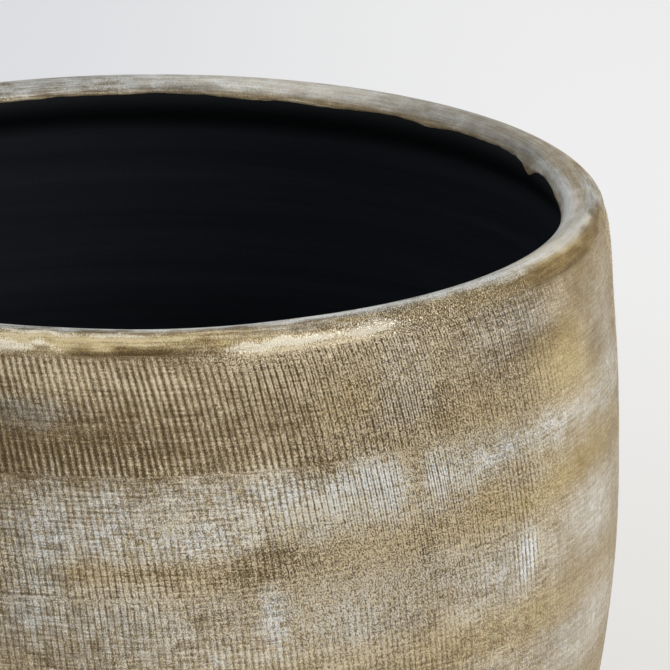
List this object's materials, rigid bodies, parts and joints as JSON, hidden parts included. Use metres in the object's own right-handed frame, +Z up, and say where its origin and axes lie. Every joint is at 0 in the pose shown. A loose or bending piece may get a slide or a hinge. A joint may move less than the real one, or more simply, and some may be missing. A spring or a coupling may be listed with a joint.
{
  "type": "planter pot",
  "caption": "Round stoneware planter pot with a thick rounded lip, a combed brass-coloured outer coat, a black watertight inner coat and felt pads under its foot ring.",
  "frame": {"origin": "centre of the pot on the surface that its felt pads stand on", "axes": "+Z up along the pot's axis; the pot is round, and +X and +Y each point at a felt pad"},
  "size_m": [0.2512, 0.2512, 0.2153],
  "materials": {
    "stoneware": "matte",
    "brass_coat": "satin",
    "black_coat": "satin",
    "felt": "matte"
  },
  "bodies": {
    "root": {"stoneware_body": "stoneware", "brass_outer_coat": "brass_coat", "black_inner_coat": "black_coat", "felt_pad_right": "felt", "felt_pad_back": "felt", "felt_pad_left": "felt", "felt_pad_front": "felt"}
  },
  "joints": []
}
